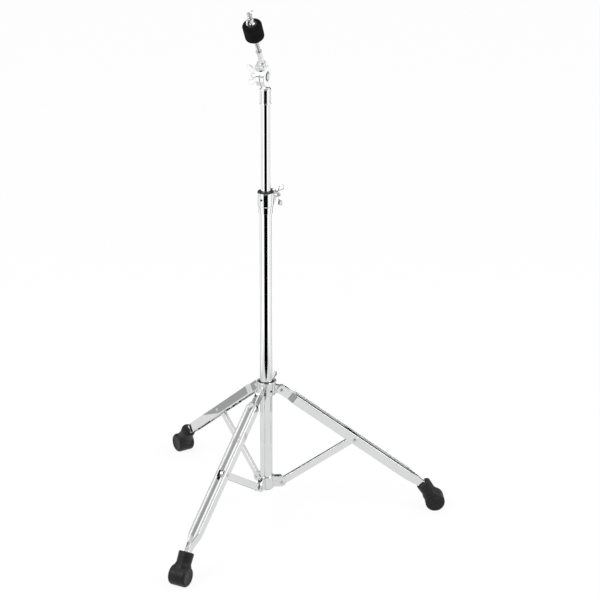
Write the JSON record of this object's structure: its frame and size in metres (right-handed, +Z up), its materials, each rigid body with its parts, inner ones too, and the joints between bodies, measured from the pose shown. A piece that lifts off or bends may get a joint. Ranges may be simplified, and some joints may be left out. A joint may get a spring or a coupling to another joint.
{
  "type": "cymbal stand",
  "caption": "Straight cymbal stand: telescoping chromed tube post on a folding double-braced tripod, with a toothed tilter and a threaded rod carrying felts under a wing nut.",
  "frame": {"origin": "middle of the stand's footprint on the floor, under the centre of its bounding box", "axes": "+Z up along the post; +X along one leg, away from the post; the other two legs point to 120 and 240 degrees about +Z"},
  "size_m": [0.5614, 0.6466, 1.0496],
  "materials": {
    "chrome": "polished chrome plate",
    "zinc_steel": "bright zinc plate",
    "black_steel": "black satin",
    "black_nylon": "moulded nylon",
    "black_rubber": "matt moulded rubber",
    "black_felt": "pressed wool felt"
  },
  "bodies": {
    "base": {"base_tube": "chrome", "end_cap": "black_nylon", "lower_collar": "chrome", "lower_set_screw": "zinc_steel", "stay_rivet_a_left": "zinc_steel", "stay_rivet_a_right": "zinc_steel", "stay_rivet_b_left": "zinc_steel", "stay_rivet_b_right": "zinc_steel", "stay_rivet_c_left": "zinc_steel", "stay_rivet_c_right": "zinc_steel", "height_clamp": "chrome", "clamp_liner": "black_nylon", "clamp_set_screw": "zinc_steel", "clamp_bolt": "zinc_steel"},
    "sliding_collar": {"leg_collar": "chrome", "collar_liner": "black_nylon", "collar_set_screw": "zinc_steel"},
    "leg_a": {"leg_a_strip_left": "chrome", "leg_a_strip_right": "chrome", "leg_a_collar_rivet": "zinc_steel", "leg_a_stay_rivet": "zinc_steel", "leg_a_spool": "black_nylon", "leg_a_end_block": "zinc_steel", "leg_a_foot": "black_rubber"},
    "leg_b": {"leg_b_strip_left": "chrome", "leg_b_strip_right": "chrome", "leg_b_collar_rivet": "zinc_steel", "leg_b_stay_rivet": "zinc_steel", "leg_b_spool": "black_nylon", "leg_b_end_block": "zinc_steel", "leg_b_foot": "black_rubber"},
    "leg_c": {"leg_c_strip_left": "chrome", "leg_c_strip_right": "chrome", "leg_c_collar_rivet": "zinc_steel", "leg_c_stay_rivet": "zinc_steel", "leg_c_spool": "black_nylon", "leg_c_end_block": "zinc_steel", "leg_c_foot": "black_rubber"},
    "stay_a_bar": {"stay_a": "chrome"},
    "stay_b_bar": {"stay_b": "chrome"},
    "stay_c_bar": {"stay_c": "chrome"},
    "collar_screw": {"collar_wing_screw": "chrome"},
    "clamp_nut": {"clamp_wing_nut": "chrome"},
    "bush": {"guide_bush": "black_nylon"},
    "mast": {"mast_tube": "chrome", "tilter_base": "chrome", "tilter_bolt": "zinc_steel", "pivot_spring": "zinc_steel"},
    "tilter_nut": {"tilter_wing_nut": "chrome"},
    "arm": {"tilter_arm": "chrome", "cymbal_rod": "zinc_steel", "rod_sleeve": "chrome", "seat_nut": "zinc_steel", "cup_washer": "black_steel", "cymbal_sleeve": "black_nylon", "lower_felt": "black_felt", "upper_felt": "black_felt"},
    "washer": {"nut_washer": "zinc_steel"},
    "top_nut": {"top_wing_nut": "chrome"}
  },
  "joints": [
    {"name": "collar_slide", "type": "slide", "parent": "base", "child": "sliding_collar", "axis": [0, 0, 1], "range_m": [0, 0.1522]},
    {"name": "leg_a_fold", "type": "hinge", "parent": "sliding_collar", "child": "leg_a", "pos_m": [-0.09989, 0.02685, 0.26974], "axis": [-0.866, -0.5, 0], "range_deg": [0, 47.3]},
    {"name": "leg_b_fold", "type": "hinge", "parent": "sliding_collar", "child": "leg_b", "pos_m": [-0.05339, 0, 0.26974], "axis": [0, 1, 0], "range_deg": [0, 47.3]},
    {"name": "leg_c_fold", "type": "hinge", "parent": "sliding_collar", "child": "leg_c", "pos_m": [-0.09989, -0.02685, 0.26974], "axis": [0.866, -0.5, 0], "range_deg": [0, 47.3]},
    {"name": "stay_a_fold", "type": "hinge", "parent": "leg_a", "child": "stay_a_bar", "pos_m": [-0.17355, 0.15444, 0.15952], "axis": [-0.866, -0.5, 0], "range_deg": [-98.4, 0]},
    {"name": "stay_b_fold", "type": "hinge", "parent": "leg_b", "child": "stay_b_bar", "pos_m": [0.09395, 0, 0.15952], "axis": [0, 1, 0], "range_deg": [-98.4, 0]},
    {"name": "stay_c_fold", "type": "hinge", "parent": "leg_c", "child": "stay_c_bar", "pos_m": [-0.17355, -0.15444, 0.15952], "axis": [0.866, -0.5, 0], "range_deg": [-98.4, 0]},
    {"name": "collar_screw_turn", "type": "hinge", "parent": "sliding_collar", "child": "collar_screw", "pos_m": [-0.08439, 0, 0.27574], "axis": [0.5, 0.866, 0], "range_deg": [0, 360]},
    {"name": "clamp_nut_turn", "type": "hinge", "parent": "base", "child": "clamp_nut", "pos_m": [-0.08211, 0.02525, 0.67209], "axis": [0.9397, -0.342, 0], "range_deg": [0, 360]},
    {"name": "mast_height", "type": "slide", "parent": "base", "child": "bush", "axis": [0, 0, 1], "range_m": [-0.17, 0.28]},
    {"name": "mast_turn", "type": "hinge", "parent": "bush", "child": "mast", "pos_m": [-0.08439, 0, 0.5], "axis": [0, 0, 1], "continuous": true},
    {"name": "tilter_nut_turn", "type": "hinge", "parent": "mast", "child": "tilter_nut", "pos_m": [-0.09626, 0.00504, 0.91099], "axis": [-0.9205, 0.3907, 0], "range_deg": [0, 360]},
    {"name": "tilter_tilt", "type": "hinge", "parent": "mast", "child": "arm", "pos_m": [-0.08439, 0, 0.91099], "axis": [0.9205, -0.3907, 0], "range_deg": [-115, 54]},
    {"name": "washer_slide", "type": "slide", "parent": "arm", "child": "washer", "axis": [-0.2024, -0.4768, 0.8554], "range_m": [0, 0.0126]},
    {"name": "top_nut_turn", "type": "hinge", "parent": "washer", "child": "top_nut", "pos_m": [-0.08439, 0, 0.91099], "axis": [-0.2024, -0.4768, 0.8554], "range_deg": [0, 3600]}
  ],
  "couplings": [
    {"joint": "leg_a_fold", "follows": "collar_slide", "rad_per_m": 5.4098},
    {"joint": "leg_b_fold", "follows": "collar_slide", "rad_per_m": 5.4098},
    {"joint": "leg_c_fold", "follows": "collar_slide", "rad_per_m": 5.4098},
    {"joint": "stay_a_fold", "follows": "collar_slide", "rad_per_m": -11.259},
    {"joint": "stay_b_fold", "follows": "collar_slide", "rad_per_m": -11.259},
    {"joint": "stay_c_fold", "follows": "collar_slide", "rad_per_m": -11.259},
    {"joint": "washer_slide", "follows": "top_nut_turn", "m_per_rad": 0.00019894}
  ]
}
